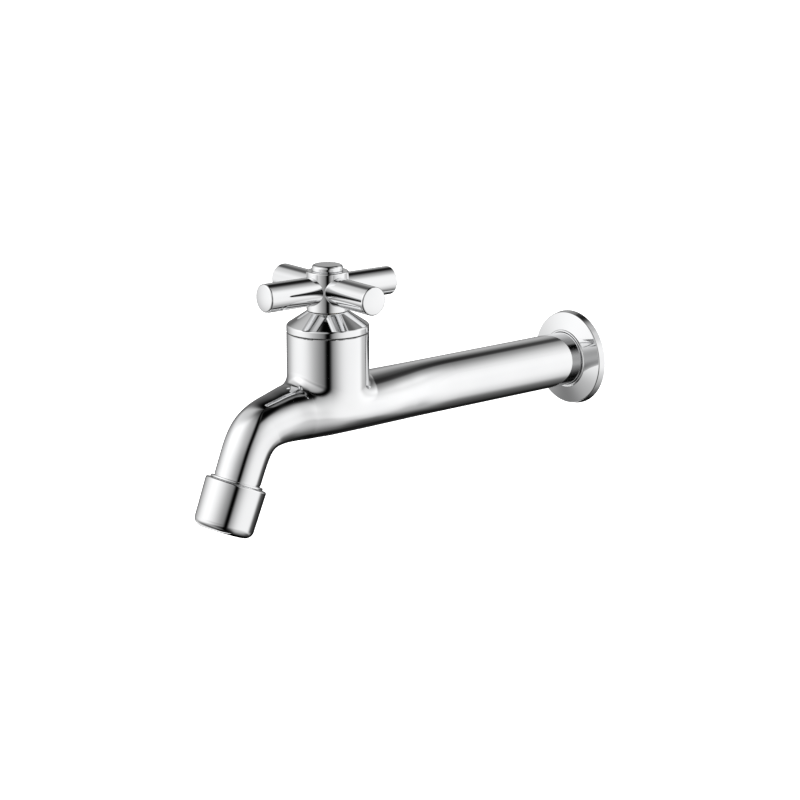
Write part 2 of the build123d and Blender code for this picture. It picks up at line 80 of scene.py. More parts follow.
# --------------------------------------------------------------- mesh making
class Skin:
    """Gathers faces whose corners have exact normals, joins equal points and
    makes one closed mesh, so that the polished metal mirrors without facets."""

    def __init__(self):
        self.quads, self.quad_normals, self.polys = [], [], []

    def grid(self, points, normals):
        def corners(a):
            return np.stack([a[:-1, :-1], a[1:, :-1], a[1:, 1:], a[:-1, 1:]], 2).reshape(-1, 4, 3)

        self.quads.append(corners(points))
        self.quad_normals.append(corners(normals))

    def poly(self, points, normals):
        self.polys.append((np.asarray(points, float), np.asarray(normals, float)))

    def make(self, name):
        quads = np.concatenate(self.quads)
        normals = np.concatenate(self.quad_normals)
        flat = [quads.reshape(-1, 3)] + [p for p, _ in self.polys]
        points = np.concatenate(flat)
        key = np.floor(points * 1000.0 + 0.137).astype(np.int64) + 600000
        code = (key[:, 0] * 1200000 + key[:, 1]) * 1200000 + key[:, 2]
        _, first, index = np.unique(code, return_index=True, return_inverse=True)
        verts = points[first]
        index = index.reshape(-1)
        count = len(quads)
        q = index[: 4 * count].reshape(-1, 4)
        across = np.cross(quads[:, 2] - quads[:, 0], quads[:, 3] - quads[:, 1])
        turn = (across * normals.sum(1)).sum(1) < 0
        q[turn] = q[turn][:, ::-1]
        normals[turn] = normals[turn][:, ::-1]
        whole = np.ones(count, bool)
        for k in range(4):
            whole &= q[:, k] != q[:, (k + 1) % 4]
        faces = q[whole].tolist()
        corner = [normals[whole].reshape(-1, 3)]
        for f, n in zip(q[~whole].tolist(), normals[~whole]):
            keep = [k for k in range(4) if f[k] != f[k - 1]]
            if len({f[k] for k in keep}) >= 3:
                faces.append([f[k] for k in keep])
                corner.append(n[keep])
        at = 4 * count
        for p, n in self.polys:
            f = index[at: at + len(p)].tolist()
            at += len(p)
            c = sum((np.cross(p[k] - p[0], p[k + 1] - p[0]) for k in range(1, len(p) - 1)), np.zeros(3))
            if c @ n.sum(0) < 0:
                f, n = f[::-1], n[::-1]
            keep = [k for k in range(len(f)) if f[k] != f[k - 1]]
            if len({f[k] for k in keep}) >= 3:
                faces.append([f[k] for k in keep])
                corner.append(n[keep])
        return mesh_object(name, verts, faces, np.concatenate(corner))


def mesh_object(name, verts, faces, corner_normals=None):
    mesh = bpy.data.meshes.new(name)
    mesh.from_pydata((np.asarray(verts) * MM).tolist(), [], faces)
    mesh.update()
    mesh.polygons.foreach_set("use_smooth", np.ones(len(mesh.polygons), bool))
    if corner_normals is not None:
        length = np.linalg.norm(corner_normals, axis=1, keepdims=True)
        mesh.normals_split_custom_set((corner_normals / np.maximum(length, 1e-12)).tolist())
    obj = bpy.data.objects.new(name, mesh)
    bpy.context.scene.collection.objects.link(obj)
    return obj


def runs(points, closed=True, side=None, steps=7):
    """Splits an outline of (radius, height[, corner radius]) into straight runs
    and corner arcs, each a list of points with their outward normals."""
    pts = [(np.array(p[:2], float), p[2] if len(p) > 2 else 0.0) for p in points]
    n = len(pts)
    if side is None:
        area = sum(
            pts[i][0][0] * pts[(i + 1) % n][0][1] - pts[(i + 1) % n][0][0] * pts[i][0][1]
            for i in range(n)
        )
        side = 1.0 if area > 0 else -1.0
    starts, ends, arcs = [], [], []
    for i, (p, f) in enumerate(pts):
        if f <= 0 or (not closed and i in (0, n - 1)):
            starts.append(p)
            ends.append(p)
            arcs.append(None)
            continue
        a = pts[i - 1][0] - p
        b = pts[(i + 1) % n][0] - p
        a, b = a / np.linalg.norm(a), b / np.linalg.norm(b)
        half = math.acos(np.clip(a @ b, -1, 1)) / 2
        mid = (a + b) / np.linalg.norm(a + b)
        centre = p + mid * (f / math.sin(half))
        starts.append(p + a * f / math.tan(half))
        ends.append(p + b * f / math.tan(half))
        arcs.append((centre, f))
    out = []
    for i in range(n):
        if arcs[i] is not None:
            centre, f = arcs[i]
            u, v = starts[i] - centre, ends[i] - centre
            turn = math.atan2(u[0] * v[1] - u[1] * v[0], u @ v)
            t = np.linspace(0, turn, steps + 1)
            ring = np.stack([
                u[0] * np.cos(t) - u[1] * np.sin(t), u[0] * np.sin(t) + u[1] * np.cos(t)
            ], 1)
            sign = 1.0 if turn * side > 0 else -1.0
            out.append((centre + ring, sign * ring / f))
        if not closed and i == n - 1:
            break
        j = (i + 1) % n
        d = starts[j] - ends[i]
        if np.linalg.norm(d) > 1e-6:
            d = d / np.linalg.norm(d)
            nrm = np.array([d[1], -d[0]]) * side
            out.append((np.array([ends[i], starts[j]]), np.array([nrm, nrm])))
    return out


class Place:
    """Where a shape made about +Z goes."""

    def __init__(self, x=(1, 0, 0), z=(0, 0, 1), origin=(0, 0, 0)):
        x, z = np.array(x, float), np.array(z, float)
        self.turn = np.stack([x, np.cross(z, x), z], 1)
        self.origin = np.array(origin, float)

    def points(self, p):
        return p @ self.turn.T + self.origin

    def normals(self, n):
        return n @ self.turn.T


AT_VALVE = Place(origin=(0, VALVE_Y, 0))
ALONG_Y = Place(z=(0, 1, 0))


def lathe(skin, outline, place, around=192, angles=None, closed=True, side=None, steps=7):
    if angles is None:
        angles = np.arange(around) * 2 * math.pi / around
    t = np.append(angles, angles[0])
    c, s = np.cos(t)[None, :], np.sin(t)[None, :]
    for pts, nrm in runs(outline, closed, side, steps):
        p = np.stack([pts[:, :1] * c, pts[:, :1] * s, pts[:, 1:] + 0 * c], 2)
        n = np.stack([nrm[:, :1] * c, nrm[:, :1] * s, nrm[:, 1:] + 0 * c], 2)
        skin.grid(place.points(p), place.normals(n))


def cubic(x, xs, ys):
    """Smooth curve through a table, without corners."""
    slope = np.gradient(ys, xs)
    k = np.clip(np.searchsorted(xs, x, side="right") - 1, 0, len(xs) - 2)
    h = xs[k + 1] - xs[k]
    t = np.clip((x - xs[k]) / h, 0, 1)
    return (
        (2 * t**3 - 3 * t**2 + 1) * ys[k] + (t**3 - 2 * t**2 + t) * h * slope[k]
        + (-2 * t**3 + 3 * t**2) * ys[k + 1] + (t**3 - t**2) * h * slope[k + 1]
    )


def smooth(x, a, b):
    """0 at a, 1 at b, with soft ends; a may be above b."""
    t = np.clip((x - a) / (b - a), 0, 1)
    return t * t * (3 - 2 * t)


def part_way(x, a, b):
    return np.clip((x - a) / (b - a), 0, 1)


# ------------------------------------------------------------ the casting
def spout_line(extra=8.0, count=2800):
    s = np.linspace(0, SPOUT_LENGTH + extra, count + 1)
    h = s[1] - s[0]
    a = np.radians(cubic((s[1:] + s[:-1]) / 2, SPOUT_TURN[:, 0], SPOUT_TURN[:, 1]))
    y = SPOUT_START_Y - np.concatenate([[0], np.cumsum(h * np.cos(a))])
    z = SPOUT_START_Z - np.concatenate([[0], np.cumsum(h * np.sin(a))])
    return s, np.stack([y, z], 1)


LINE_S, LINE = spout_line()


def spout_end():
    """Centre of the spout's end as the CAD places it, and the way out of it."""
    y, z, steps = SPOUT_START_Y, SPOUT_START_Z, 2000
    h = SPOUT_LENGTH / steps
    for i in range(steps):
        t = math.radians(np.interp((i + 0.5) * h, SPOUT_TURN[:, 0], SPOUT_TURN[:, 1]))
        y -= h * math.cos(t)
        z -= h * math.sin(t)
    t = math.radians(SPOUT_TURN[-1, 1])
    return np.array([0, y, z]), np.array([0, -math.cos(t), -math.sin(t)])


END_POINT, END_WAY = spout_end()
AT_END = Place(z=END_WAY, origin=END_POINT)
# the smooth curve ends a hair beside the CAD's: carry the difference along the bend
LINE_END = np.array([np.interp(SPOUT_LENGTH, LINE_S, LINE[:, k]) for k in (0, 1)])
LINE = LINE + (END_POINT[1:] - LINE_END) * smooth(LINE_S, 8, 40)[:, None]
LINE_WAY = np.gradient(LINE, LINE_S, axis=0)
LINE_WAY /= np.linalg.norm(LINE_WAY, axis=1, keepdims=True)
LINE_BEND = np.gradient(LINE_WAY, LINE_S, axis=0)


def pipe_distance(p):
    """Signed distance from the oval body, the straight tube and the curved
    spout, and the direction away from them."""
    x, y, z = p[:, 0], p[:, 1], p[:, 2]
    away = np.stack([0 * x, z - SPOUT_START_Z * smooth(y, RISE_START_Y, SPOUT_START_Y)], 1)
    m = y < SPOUT_START_Y
    q = p[m][:, 1:]
    rough = LINE[::40]
    along = np.empty(len(q))
    for i in range(0, len(q), 20000):
        d2 = ((q[i: i + 20000, None] - rough[None]) ** 2).sum(2)
        along[i: i + 20000] = LINE_S[::40][d2.argmin(1)]
    for _ in range(4):
        at = [np.interp(along, LINE_S, c) for c in (*LINE.T, *LINE_WAY.T, *LINE_BEND.T)]
        off = q - np.stack(at[:2], 1)
        ahead = off[:, 0] * at[2] + off[:, 1] * at[3]
        bend = np.maximum(1 - off[:, 0] * at[4] - off[:, 1] * at[5], 0.25)
        along = np.clip(along + ahead / bend, 0, LINE_S[-1])
    off = q - np.stack([np.interp(along, LINE_S, c) for c in LINE.T], 1)
    away[m] = off
    # the oval is a circle stretched sideways
    station = y.copy()
    station[m] = SPOUT_START_Y - along
    radius = cubic(station, HEIGHT[:, 0], HEIGHT[:, 1])
    flat = radius / np.maximum(cubic(station, OVAL[:, 0], OVAL[:, 1]), radius)
    out = np.concatenate([x[:, None] * flat[:, None], away], 1)
    size = np.linalg.norm(out, axis=1)
    out[:, 0] *= flat
    steep = np.linalg.norm(out, axis=1) + 1e-9
    return (size - radius) * size / steep, out / steep[:, None]


def barrel_distance(p):
    """Signed distance from the upright barrel, which fades into the oval body."""
    out = np.stack([p[:, 0], p[:, 1] - VALVE_Y, np.minimum(p[:, 2], 0) * BARREL_R / 12.0], 1)
    size = np.linalg.norm(out, axis=1)
    out[:, 2] *= BARREL_R / 12.0
    steep = np.linalg.norm(out, axis=1) + 1e-9
    return (size - BARREL_R) * size / steep, out / steep[:, None]


def casting(p):
    """Oval body and barrel joined by a rolling-ball blend, tight in front and
    behind, and wide at the sides, where they run into each other."""
    a, na = pipe_distance(p)
    b, nb = barrel_distance(p)
    lean = np.clip((na * nb).sum(1), -0.5, 0.995)
    r = 3.4 + 1.6 * smooth(p[:, 1], -155, -171)
    r = r + 10.0 * smooth(lean, 0.1, 0.9)
    c = 1 - lean**2
    to_a = ((r - a) - lean * (r - b)) / c
    to_b = ((r - b) - lean * (r - a)) / c
    reach = np.sqrt(np.maximum(((a - r) ** 2 + (b - r) ** 2 - 2 * lean * (a - r) * (b - r)) / c, 0))
    return np.where((to_a > 0) & (to_b > 0), r - reach, np.minimum(a, b))


def casting_slope(p, h=0.02):
    g = np.zeros_like(p)
    for k in range(3):
        d = np.zeros(3)
        d[k] = h
        g[:, k] = (casting(p + d) - casting(p - d)) / (2 * h)
    return g


def settle(p, rounds):
    for _ in range(rounds):
        g = casting_slope(p)
        p = p - g * (casting(p) / np.maximum((g * g).sum(1), 1e-9))[:, None]
    return p


def casting_net(h=1.2, lo=(-23.2, -230.0, -40.8), hi=(23.2, -81.6, 26.4)):
    """A net of four-sided cells over the casting's outer surface."""
    n = np.ceil((np.array(hi) - lo) / h).astype(int) + 1
    axes = [lo[k] + h * np.arange(n[k]) for k in range(3)]
    value = np.empty(n)
    yy, zz = np.meshgrid(axes[1], axes[2], indexing="ij")
    for i in range(n[0]):
        p = np.stack([np.full(yy.shape, axes[0][i]), yy, zz], -1).reshape(-1, 3)
        value[i] = casting(p).reshape(yy.shape)
    inside = value < 0
    total = np.zeros(tuple(n - 1), int)
    offsets = [(a, b, c) for a in (0, 1) for b in (0, 1) for c in (0, 1)]
    for a, b, c in offsets:
        total += inside[a: n[0] - 1 + a, b: n[1] - 1 + b, c: n[2] - 1 + c]
    cell = (total > 0) & (total < 8)
    number = -np.ones(tuple(n - 1), int)
    cells = np.argwhere(cell)
    number[cell] = np.arange(len(cells))
    acc, hits = np.zeros((len(cells), 3)), np.zeros(len(cells))
    for i in range(8):
        for j in range(i + 1, 8):
            if sum(abs(np.array(offsets[i]) - offsets[j])) != 1:
                continue
            a, b = cells + offsets[i], cells + offsets[j]
            va, vb = value[a[:, 0], a[:, 1], a[:, 2]], value[b[:, 0], b[:, 1], b[:, 2]]
            m = (va < 0) != (vb < 0)
            t = np.where(m, va / (va - vb + 1e-30), 0)
            acc[m] += (a + (b - a) * t[:, None])[m]
            hits[m] += 1
    verts = np.array(lo) + h * acc / hits[:, None]
    faces = []
    for axis in range(3):
        o = [k for k in range(3) if k != axis]
        low, high = [slice(None)] * 3, [slice(None)] * 3
        low[axis], high[axis] = slice(0, n[axis] - 1), slice(1, n[axis])
        e = np.argwhere(inside[tuple(low)] != inside[tuple(high)])
        e = e[(e[:, o[0]] > 0) & (e[:, o[1]] > 0) & (e[:, o[0]] < n[o[0]] - 1) & (e[:, o[1]] < n[o[1]] - 1)]
        d0, d1 = np.zeros(3, int), np.zeros(3, int)
        d0[o[0]] = d1[o[1]] = 1
        q = np.stack([number[k[:, 0], k[:, 1], k[:, 2]] for k in (e - d0 - d1, e - d1, e, e - d0)], 1)
        faces.append(q)
    faces = np.concatenate(faces)
    return settle(verts, 4), faces[(faces >= 0).all(1)]


def finer(verts, faces):
    """Splits each four-sided face into four."""
    count = len(verts)
    edges = np.sort(np.stack([faces, np.roll(faces, -1, 1)], 2).reshape(-1, 2), 1)
    code = edges[:, 0].astype(np.int64) * count + edges[:, 1]
    _, first, index = np.unique(code, return_index=True, return_inverse=True)
    index = index.reshape(faces.shape) + count
    mids = verts[edges[first]].mean(1)
    centres = verts[faces].mean(1)
    c = np.arange(len(faces)) + count + len(mids)
    out = np.concatenate([
        np.stack([faces[:, k], index[:, k], c, index[:, k - 1]], 1) for k in range(4)
    ])
    return np.concatenate([verts, mids, centres]), out


def cut_ring(verts, normals, faces, place, radius):
    """Cuts the net square across at a place's plane, where it is round, and
    gives the cut's vertices their exact positions. Returns their angles too."""
    local = (verts - place.origin) @ place.turn
    near = (np.abs(local[:, 2]) < 0.06) & (np.hypot(local[:, 0], local[:, 1]) < radius + 1.5)
    local[near, 2] = 0.0
    gone = (local[:, 2] > 1e-9) & (np.hypot(local[:, 0], local[:, 1]) < radius + 4)
    verts, normals, local = list(verts), list(normals), list(local)
    made, ring, kept = {}, set(), []

    def between(i, j):
        pair = (min(i, j), max(i, j))
        if pair not in made:
            a, b = local[i], local[j]
            t = a[2] / (a[2] - b[2])
            made[pair] = len(local)
            local.append(a + (b - a) * t)
            verts.append(None)
            normals.append(None)
        return made[pair]

    for f in faces:
        if not any(gone[i] for i in f):
            kept.append(list(f))
            continue
        out = []
        for k, i in enumerate(f):
            j = f[(k + 1) % len(f)]
            if not gone[i]:
                out.append(i)
            if gone[i] != gone[j] and abs(local[i if not gone[i] else j][2]) > 1e-9:
                out.append(between(i, j))
        if len(out) >= 3:
            kept.append(out)
    for i, p in enumerate(local):
        if abs(p[2]) < 1e-7 and abs(math.hypot(p[0], p[1]) - radius) < 1.0:
            ring.add(i)
    used = {i for f in kept for i in f}
    ring = sorted(ring & used, key=lambda i: math.atan2(local[i][1], local[i][0]))
    angles = np.array([math.atan2(local[i][1], local[i][0]) for i in ring])
    for i, a in zip(ring, angles):
        flat = np.array([math.cos(a), math.sin(a), 0.0])
        verts[i] = place.points(flat * radius)
        normals[i] = place.normals(flat)
    for i, p in enumerate(verts):
        if p is None:
            verts[i], normals[i] = place.points(local[i]), np.zeros(3)
    return np.array(verts), np.array(normals), kept, angles


def make_tap_body():
    verts, faces = casting_net()
    verts, faces = finer(verts, faces)
    verts = settle(verts, 3)
    normals = casting_slope(verts)
    normals /= np.linalg.norm(normals, axis=1, keepdims=True)
    faces = faces.tolist()
    rim = Place(origin=(0, VALVE_Y, 23.5))
    neck = Place(z=(0, 1, 0), origin=(0, -86.0, 0))
    mouth = AT_END
    verts, normals, faces, rim_angles = cut_ring(verts, normals, faces, rim, BARREL_R)
    verts, normals, faces, neck_angles = cut_ring(verts, normals, faces, neck, TUBE_R)
    verts, normals, faces, mouth_angles = cut_ring(verts, normals, faces, mouth, 11.1)
    skin = Skin()
    quads = np.array([f for f in faces if len(f) == 4])
    skin.quads.append(verts[quads])
    skin.quad_normals.append(normals[quads])
    for f in faces:
        if len(f) != 4:
            skin.poly(verts[f], normals[f])
    # barrel's top: softened rim, counterbore, thread bore and chamber
    top = BARREL_TOP - 23.5
    lathe(skin, [(BARREL_R, (top - 0.25) * k / 5) for k in range(6)] + [
        (BARREL_R - 0.25, top),
        (13.8, top), (13.8, 11.04), (10.53, 11.04), (10.53, -0.1), (11.4, -1.1),
        (11.4, -14.0), (5.0, -14.0), (5.0, -21.5), (0.0, -21.5),
    ], rim, angles=rim_angles, closed=False, side=1.0)
    # the straight tube, on to its end, and its bore
    along = [(TUBE_R, 86.0 * k / 14 - 0.85 * (k == 14)) for k in range(15)]
    lathe(skin, along + [
        (TUBE_R - 0.25, 86.0 + TUBE_END_Y), (TUBE_BORE_R, 86.0 + TUBE_END_Y),
        (TUBE_BORE_R, -50.0), (0.0, -50.0),
    ], neck, angles=neck_angles, closed=False, side=1.0)
    # spout's end: collar, thread run-out, thread and bore
    lathe(skin, [
        (11.1, 0.0), (10.9, 0.0), (10.9, 1.0), (12.53, 1.0, 0.35), (12.53, 2.1, 0.3), (11.1, 2.1),
        (11.1, 2.9), (12.0, 3.5), (12.0, 9.0), (11.4, 9.6), (8.6, 9.6), (8.6, -12.0), (0.0, -12.0),
    ], mouth, angles=mouth_angles, closed=False, side=1.0)
    return skin.make("tap_body_cast")


def make_inlet_tail():
    """Turned nipple with a real helical G1/2 thread."""
    skin = Skin()
    around, pitch = 144, 1.814
    crest, root = 10.48, 9.32
    h = np.linspace(1.3, 10.0, 121)
    t = np.linspace(0, 2 * math.pi, around + 1)
    hh, tt = np.meshgrid(h, t, indexing="ij")
    phase = (hh / pitch - tt / (2 * math.pi)) % 1.0
    tooth = np.clip((0.5 - np.abs(phase - 0.5)) / 0.5, 0.0, 1.0)
    tooth = np.clip((tooth - 0.14) / 0.72, 0, 1)
    tooth = tooth * smooth(hh, 1.3, 2.2) * smooth(hh, 10.0, 9.2)
    rr = root + (crest - root) * tooth
    p = np.stack([rr * np.cos(tt), rr * np.sin(tt), hh], 2)
    dh, dt = np.gradient(p, axis=0), np.gradient(p, axis=1)
    dt[:, 0] = dt[:, -1] = (p[:, 1] - p[:, -2]) / 2
    nrm = np.cross(dt, dh)
    nrm /= np.linalg.norm(nrm, axis=2, keepdims=True)
    skin.grid(ALONG_Y.points(p), ALONG_Y.normals(nrm))
    lathe(skin, [
        (root, 10.0), (7.5, 10.0), (7.5, 0.2), (8.3, -0.6), (8.3, -15.0), (9.45, -15.0),
        (9.95, -14.5), (9.95, TUBE_END_Y), (12.6, TUBE_END_Y), (12.6, 0.3, 0.2), (9.28, 0.3),
        (9.28, 1.0), (root, 1.3),
    ], ALONG_Y, around=around, closed=False, side=-1.0)
    return skin.make("inlet_tail_threaded")


# ------------------------------------------------------- the turned pieces
def make_turned(name, outline, place, around=192, steps=7):
    skin = Skin()
    lathe(skin, outline, place, around=around, steps=steps)
    return skin.make(name)


def make_cross_handle():
    """Hub with four arms; each arm starts on the hub's own surface."""
    skin = Skin()
    yaw = math.radians(HANDLE_YAW)
    soft = 0.15  # the small hollow between arm and hub
    base = ARM_REACH - ARM_DOME_R
    r, inner = ARM_R - ARM_EDGE_R, ARM_DOME_R - ARM_EDGE_R
    side_end = base + math.sqrt(inner**2 - r**2)
    edge_turn = math.atan2(side_end - base, r)
    low, high = HUB_BOTTOM + 0.35, HUB_TOP - 0.7
    per_side = 32
    # outline of one arm's field on the hub, from the lower right corner round
    s = np.linspace(-1, 1, per_side + 1)[:-1]
    rim_u = np.concatenate([np.ones(per_side), -s, -np.ones(per_side), s])
    rim_v = np.concatenate([s, np.ones(per_side), -s, -np.ones(per_side)])
    z_mid, z_half = (low + high) / 2, (high - low) / 2
    rim_phi = rim_u * math.pi / 4
    rim_z = z_mid + rim_v * z_half
    theta = np.arctan2((rim_z - ARM_Z) / z_half, rim_u)
    theta = np.append(theta, theta[0])
    rim_phi, rim_z = np.append(rim_phi, rim_phi[0]), np.append(rim_z, rim_z[0])
    hole_phi = np.arcsin((ARM_R + soft) * np.cos(theta) / HUB_R)
    hole_z = ARM_Z + (ARM_R + soft) * np.sin(theta)
    for quarter in range(4):
        turn = yaw + quarter * math.pi / 2
        ahead = np.array([math.cos(turn), math.sin(turn), 0])
        aside = np.array([-math.sin(turn), math.cos(turn), 0])
        up = np.array([0, 0, 1.0])
        k = np.linspace(0, 1, 9)[:, None]
        phi = hole_phi * (1 - k) + rim_phi * k
        z = hole_z * (1 - k) + rim_z * k
        n = np.cos(phi)[..., None] * ahead + np.sin(phi)[..., None] * aside
        p = n * HUB_R + z[..., None] * up
        skin.grid(AT_VALVE.points(p), AT_VALVE.normals(n))
        # hollow: from the hub's surface to the arm's
        side_w = ARM_R * np.cos(theta)
        start = np.sqrt(HUB_R**2 - side_w**2) + soft
        arm_n = np.cos(theta)[:, None] * aside + np.sin(theta)[:, None] * up
        a0, n0 = p[0], n[0]
        a2 = start[:, None] * ahead + ARM_R * arm_n + ARM_Z * up
        a1 = (start - soft)[:, None] * ahead + ARM_R * arm_n + ARM_Z * up
        t = np.linspace(0, 1, 5)[:, None, None]
        bend = (1 - t) ** 2 * a0 + 2 * t * (1 - t) * a1 + t**2 * a2
        lean = (1 - t) * n0 + t * arm_n
        lean /= np.linalg.norm(lean, axis=2, keepdims=True)
        skin.grid(AT_VALVE.points(bend), AT_VALVE.normals(lean))
        # the arm's side
        t = np.linspace(0, 1, 13)[:, None]
        reach = start * (1 - t) + side_end * t
        p = reach[..., None] * ahead + ARM_R * arm_n + ARM_Z * up
        skin.grid(AT_VALVE.points(p), AT_VALVE.normals(arm_n + 0 * p))
        # softened edge and slightly domed end
        t = np.linspace(0, edge_turn, 10)[:, None, None]
        n = np.cos(t) * arm_n + np.sin(t) * ahead
        p = side_end * ahead + r * arm_n + ARM_Z * up + ARM_EDGE_R * n
        skin.grid(AT_VALVE.points(p), AT_VALVE.normals(n))
        t = np.linspace(edge_turn, math.pi / 2, 9)[:, None, None]
        n = np.cos(t) * arm_n + np.sin(t) * ahead
        p = base * ahead + ARM_Z * up + ARM_DOME_R * n
        skin.grid(AT_VALVE.points(p), AT_VALVE.normals(n))
    around = np.concatenate([yaw + q * math.pi / 2 + np.linspace(-1, 1, per_side + 1)[:-1] * math.pi / 4
                             for q in range(4)])
    lathe(skin, [(HUB_R, high), (HUB_R, HUB_TOP, 0.7), (6.5, HUB_TOP), (6.5, 61.7), (2.3, 61.7),
                 (2.3, 60.2), (6.7, 60.2), (6.7, 50.6), (7.0, 50.6), (7.0, HUB_BOTTOM),
                 (HUB_R, HUB_BOTTOM, 0.35), (HUB_R, low)],
          AT_VALVE, angles=around, closed=False, side=1.0)
    return skin.make("cross_handle_cast")


# ----------------------------------------------------------------- materials
def material(name):
    m = bpy.data.materials.new(name)
    m.use_nodes = True
    shader = m.node_tree.nodes["Principled BSDF"]
    return m, m.node_tree, shader


def noise(tree, scale, detail=3.0, rough=0.5, stretch=None):
    coord = tree.nodes.new("ShaderNodeTexCoord")
    tex = tree.nodes.new("ShaderNodeTexNoise")
    tex.inputs["Scale"].default_value = scale
    tex.inputs["Detail"].default_value = detail
    tex.inputs["Roughness"].default_value = rough
    source = coord.outputs["Object"]
    if stretch is not None:
        mapping = tree.nodes.new("ShaderNodeMapping")
        mapping.inputs["Scale"].default_value = stretch
        tree.links.new(source, mapping.inputs["Vector"])
        source = mapping.outputs["Vector"]
    tree.links.new(source, tex.inputs["Vector"])
    return tex.outputs["Fac"]


def spread(tree, value, low, high, from_low=0.3, from_high=0.7):
    node = tree.nodes.new("ShaderNodeMapRange")
    node.inputs["From Min"].default_value = from_low
    node.inputs["From Max"].default_value = from_high
    node.inputs["To Min"].default_value = low
    node.inputs["To Max"].default_value = high
    tree.links.new(value, node.inputs["Value"])
    return node.outputs["Result"]


def shades(tree, value, dark, light):
    node = tree.nodes.new("ShaderNodeValToRGB")
    node.color_ramp.elements[0].position = 0.3
    node.color_ramp.elements[1].position = 0.7
    node.color_ramp.elements[0].color = (*dark, 1)
    node.color_ramp.elements[1].color = (*light, 1)
    tree.links.new(value, node.inputs["Fac"])
    return node.outputs["Color"]


def relief(tree, shader, height, strength, distance):
    node = tree.nodes.new("ShaderNodeBump")
    node.inputs["Strength"].default_value = strength
    node.inputs["Distance"].default_value = distance
    tree.links.new(height, node.inputs["Height"])
    tree.links.new(node.outputs["Normal"], shader.inputs["Normal"])


def chrome_material(name, wave):
    """Polished chrome plate: a near mirror, its haze uneven, and on the cast
    body a trace of waviness left by the polishing wheel."""
    m, tree, shader = material(name)
    shader.inputs["Metallic"].default_value = 1.0
    tint = shades(tree, noise(tree, 45.0, 2.0), (0.845, 0.85, 0.858), (0.872, 0.875, 0.88))
    tree.links.new(tint, shader.inputs["Base Color"])
    haze = spread(tree, noise(tree, 160.0, 4.0, 0.6), 0.022, 0.05)
    tree.links.new(haze, shader.inputs["Roughness"])
    relief(tree, shader, noise(tree, 55.0, 1.0, 0.4), wave, 0.0004)
    return m


def make_materials():
    made = {}
    made["chrome_plate"] = chrome_material("chrome_plate", 0.012)
    made["chrome_cast"] = chrome_material("chrome_cast", 0.02)

    m, tree, shader = material("brass_turned")
    shader.inputs["Metallic"].default_value = 1.0
    tree.links.new(
        shades(tree, noise(tree, 220.0, 4.0), (0.70, 0.53, 0.27), (0.82, 0.66, 0.38)),
        shader.inputs["Base Color"],
    )
    tree.links.new(spread(tree, noise(tree, 500.0, 3.0), 0.22, 0.38), shader.inputs["Roughness"])
    relief(tree, shader, noise(tree, 900.0, 2.0), 0.15, 0.0001)
    made["brass_turned"] = m

    # Black rubber. The gasket edge in the gap under the bonnet cover wears it: a dark part put in that gap
    # as painted shade of the gap.
    m, tree, shader = material("black_rubber")
    tree.links.new(
        shades(tree, noise(tree, 300.0, 4.0), (0.018, 0.018, 0.018), (0.045, 0.045, 0.044)),
        shader.inputs["Base Color"],
    )
    tree.links.new(spread(tree, noise(tree, 800.0, 3.0), 0.6, 0.85), shader.inputs["Roughness"])
    relief(tree, shader, noise(tree, 2500.0, 3.0), 0.3, 0.0001)
    made["black_rubber"] = m

    m, tree, shader = material("white_ceramic")
    tree.links.new(
        shades(tree, noise(tree, 1200.0, 5.0, 0.7), (0.85, 0.84, 0.80), (0.91, 0.90, 0.87)),
        shader.inputs["Base Color"],
    )
    tree.links.new(spread(tree, noise(tree, 400.0, 3.0), 0.12, 0.28), shader.inputs["Roughness"])
    relief(tree, shader, noise(tree, 3000.0, 2.0), 0.05, 0.0001)
    made["white_ceramic"] = m

    for name, dark, light in (
        ("white_plastic", (0.80, 0.80, 0.78), (0.87, 0.87, 0.85)),
        ("grey_plastic", (0.48, 0.49, 0.51), (0.57, 0.58, 0.60)),
    ):
        m, tree, shader = material(name)
        tree.links.new(shades(tree, noise(tree, 150.0, 3.0), dark, light), shader.inputs["Base Color"])
        tree.links.new(spread(tree, noise(tree, 700.0, 3.0), 0.35, 0.5), shader.inputs["Roughness"])
        relief(tree, shader, noise(tree, 4000.0, 2.0), 0.12, 0.0001)
        made[name] = m

    m, tree, shader = material("stainless")
    shader.inputs["Metallic"].default_value = 1.0
    tree.links.new(
        shades(tree, noise(tree, 400.0, 3.0, 0.6, (1, 1, 12)), (0.56, 0.56, 0.57), (0.72, 0.72, 0.72)),
        shader.inputs["Base Color"],
    )
    tree.links.new(
        spread(tree, noise(tree, 900.0, 3.0, 0.6, (1, 1, 10)), 0.2, 0.36), shader.inputs["Roughness"]
    )
    relief(tree, shader, noise(tree, 2000.0, 2.0, 0.5, (1, 1, 8)), 0.1, 0.0001)
    made["stainless"] = m
    return made


